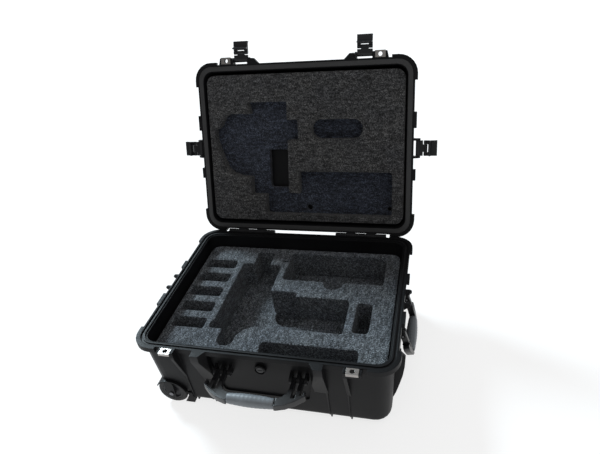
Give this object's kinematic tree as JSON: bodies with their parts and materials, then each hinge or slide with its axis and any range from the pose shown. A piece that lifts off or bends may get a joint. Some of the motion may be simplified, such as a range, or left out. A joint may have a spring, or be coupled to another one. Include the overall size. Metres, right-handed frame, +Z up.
{
  "type": "drone carrying case",
  "caption": "Open hard-shell wheeled carrying case with cut foam pockets, hinged lid, over-centre latches, folding handles and telescopic trolley.",
  "frame": {"origin": "centre of the case's underside, on the flat trolley cover that it stands on", "axes": "+Z up, -Y towards the latches at the front of the base, +Y towards the lid hinge, +X towards the trolley grip"},
  "size_m": [0.654, 0.6957, 0.6423],
  "materials": {
    "shell": "moulded black polypropylene with a fine satin grain",
    "latch_plastic": "smooth black glass-filled nylon",
    "seal": "dark grey soft gasket",
    "foam": "charcoal open-grain polyethylene foam, coarse cells",
    "lid_foam": "charcoal polyethylene foam, coarse cells",
    "deep_foam": "dark navy foam at the pocket floors",
    "grip_rubber": "grey over-moulded soft rubber",
    "steel": "bright stainless steel",
    "aluminium": "satin anodised tube",
    "wheel_plastic": "dark grey wheel centre",
    "tyre": "black polyurethane tread"
  },
  "bodies": {
    "base": {"base_shell": "shell", "base_foam": "foam", "base_foam_pad": "foam", "padlock_plate_base_left": "steel", "padlock_plate_base_right": "steel", "valve_body": "latch_plastic", "valve_cap": "latch_plastic", "hinge_pin_left": "steel", "hinge_pin_right": "steel", "front_handle_pin_left": "steel", "front_handle_pin_right": "steel", "side_handle_pin_left": "steel", "side_handle_pin_right": "steel", "wheel_housing_front": "shell", "wheel_housing_back": "shell", "wheel_axle_front": "steel", "wheel_axle_back": "steel", "trolley_outer_tube_front": "aluminium", "trolley_outer_tube_back": "aluminium", "trolley_cover": "shell"},
    "lid": {"lid_shell": "shell", "lid_seal": "seal", "lid_foam": "lid_foam", "lid_foam_backing": "deep_foam", "padlock_plate_lid_left": "steel", "padlock_plate_lid_right": "steel", "latch_hinge_pin_front_left": "steel", "latch_hinge_pin_front_right": "steel", "latch_hinge_pin_left_end": "steel", "latch_hinge_pin_right_end": "steel"},
    "arm_front_left": {"latch_arm_front_left": "latch_plastic", "latch_pin_front_left": "steel"},
    "lever_front_left": {"latch_lever_front_left": "latch_plastic"},
    "arm_front_right": {"latch_arm_front_right": "latch_plastic", "latch_pin_front_right": "steel"},
    "lever_front_right": {"latch_lever_front_right": "latch_plastic"},
    "arm_left_end": {"latch_arm_left_end": "latch_plastic", "latch_pin_left_end": "steel"},
    "lever_left_end": {"latch_lever_left_end": "latch_plastic"},
    "arm_right_end": {"latch_arm_right_end": "latch_plastic", "latch_pin_right_end": "steel"},
    "lever_right_end": {"latch_lever_right_end": "latch_plastic"},
    "front_handle": {"front_handle": "latch_plastic", "front_handle_grip": "grip_rubber"},
    "side_handle": {"side_handle": "latch_plastic", "side_handle_grip": "grip_rubber"},
    "trolley_middle": {"trolley_middle_tube_front": "aluminium", "trolley_middle_tube_back": "aluminium"},
    "trolley_handle": {"trolley_inner_tube_front": "aluminium", "trolley_inner_tube_back": "aluminium", "trolley_grip": "latch_plastic"},
    "trolley_button": {"trolley_button": "grip_rubber"},
    "wheel_front": {"wheel_hub_front": "wheel_plastic", "wheel_tyre_front": "tyre"},
    "wheel_back": {"wheel_hub_back": "wheel_plastic", "wheel_tyre_back": "tyre"}
  },
  "joints": [
    {"name": "lid_hinge", "type": "hinge", "parent": "base", "child": "lid", "pos_m": [0, 0.218, 0.188], "axis": [1, 0, 0], "range_deg": [0, 109]},
    {"name": "arm_hinge_front_left", "type": "hinge", "parent": "lid", "child": "arm_front_left", "pos_m": [-0.155, 0.37543, 0.59915], "axis": [1, 0, 0], "range_deg": [0, 90]},
    {"name": "lever_hinge_front_left", "type": "hinge", "parent": "arm_front_left", "child": "lever_front_left", "pos_m": [-0.155, 0.38129, 0.61616], "axis": [-1, 0, 0], "range_deg": [0, 50]},
    {"name": "arm_hinge_front_right", "type": "hinge", "parent": "lid", "child": "arm_front_right", "pos_m": [0.155, 0.37543, 0.59915], "axis": [1, 0, 0], "range_deg": [0, 90]},
    {"name": "lever_hinge_front_right", "type": "hinge", "parent": "arm_front_right", "child": "lever_front_right", "pos_m": [0.155, 0.38129, 0.61616], "axis": [-1, 0, 0], "range_deg": [0, 50]},
    {"name": "arm_hinge_left_end", "type": "hinge", "parent": "lid", "child": "arm_left_end", "pos_m": [-0.282, 0.30381, 0.39113], "axis": [0, 0.3256, 0.9455], "range_deg": [0, 90]},
    {"name": "lever_hinge_left_end", "type": "hinge", "parent": "arm_left_end", "child": "lever_left_end", "pos_m": [-0.3, 0.30381, 0.39113], "axis": [0, -0.3256, -0.9455], "range_deg": [0, 50]},
    {"name": "arm_hinge_right_end", "type": "hinge", "parent": "lid", "child": "arm_right_end", "pos_m": [0.282, 0.30381, 0.39113], "axis": [0, -0.3256, -0.9455], "range_deg": [0, 90]},
    {"name": "lever_hinge_right_end", "type": "hinge", "parent": "arm_right_end", "child": "lever_right_end", "pos_m": [0.3, 0.30381, 0.39113], "axis": [0, 0.3256, 0.9455], "range_deg": [0, 50]},
    {"name": "front_handle_swing", "type": "hinge", "parent": "base", "child": "front_handle", "pos_m": [0, -0.21253, 0.135], "axis": [1, 0, 0], "range_deg": [-5, 90]},
    {"name": "side_handle_swing", "type": "hinge", "parent": "base", "child": "side_handle", "pos_m": [0.27253, 0, 0.135], "axis": [0, -1, 0], "range_deg": [-14, 81]},
    {"name": "trolley_middle_slide", "type": "slide", "parent": "base", "child": "trolley_middle", "axis": [1, 0, 0], "range_m": [0, 0.19]},
    {"name": "trolley_handle_slide", "type": "slide", "parent": "trolley_middle", "child": "trolley_handle", "axis": [1, 0, 0], "range_m": [0, 0.19]},
    {"name": "trolley_button_press", "type": "slide", "parent": "trolley_handle", "child": "trolley_button", "axis": [-1, 0, 0], "range_m": [0, 0.003], "stiffness_N_per_m": 800, "springref_m": -0.002},
    {"name": "wheel_front_spin", "type": "hinge", "parent": "base", "child": "wheel_front", "pos_m": [-0.226, -0.189, 0.0344], "axis": [0, 1, 0], "continuous": true},
    {"name": "wheel_back_spin", "type": "hinge", "parent": "base", "child": "wheel_back", "pos_m": [-0.226, 0.189, 0.0344], "axis": [0, 1, 0], "continuous": true}
  ],
  "couplings": [
    {"joint": "trolley_handle_slide", "follows": "trolley_middle_slide", "ratio": 1}
  ]
}
